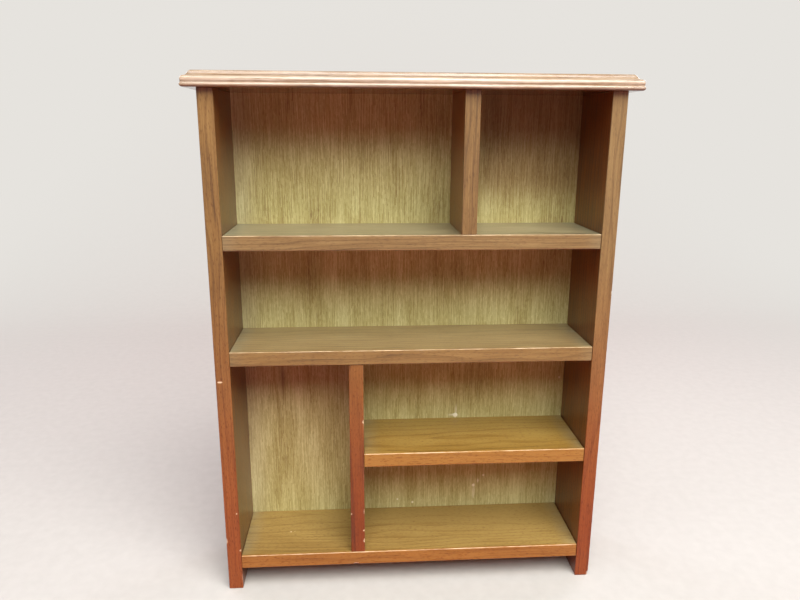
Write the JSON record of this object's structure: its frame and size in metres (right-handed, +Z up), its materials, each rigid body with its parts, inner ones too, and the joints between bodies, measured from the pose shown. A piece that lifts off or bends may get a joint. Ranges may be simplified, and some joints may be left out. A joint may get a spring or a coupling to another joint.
{
  "type": "small open bookcase",
  "caption": "Small free-standing open bookcase of stained boards with fixed shelves, off-centre dividers, a thin plywood back and an overhanging moulded top.",
  "frame": {"origin": "on the floor, under the middle of the whole bookcase's width and depth", "axes": "+Z up from the floor; the open front faces -Y and the plywood back faces +Y; +X is to the right as seen from the front"},
  "size_m": [0.541, 0.124, 0.684],
  "materials": {
    "stained_board": "walnut-brown stain under a thin satin varnish, worn pale along the arrises",
    "plywood_back": "rotary-cut tropical plywood, open-grained, stained thin and left dull",
    "beech_dowel": "bare turned beech",
    "pin_steel": "plain drawn steel, dulled"
  },
  "bodies": {
    "root": {"top_board": "stained_board", "left_side": "stained_board", "right_side": "stained_board", "upper_shelf": "stained_board", "middle_shelf": "stained_board", "half_shelf": "stained_board", "bottom_shelf": "stained_board", "upper_divider": "stained_board", "lower_divider": "stained_board", "back_panel": "plywood_back", "top_dowels": "beech_dowel", "upper_shelf_dowels": "beech_dowel", "middle_shelf_dowels": "beech_dowel", "half_shelf_dowels": "beech_dowel", "bottom_shelf_dowels": "beech_dowel", "upper_divider_dowels": "beech_dowel", "lower_divider_dowels": "beech_dowel", "back_panel_pins": "pin_steel"}
  },
  "joints": []
}
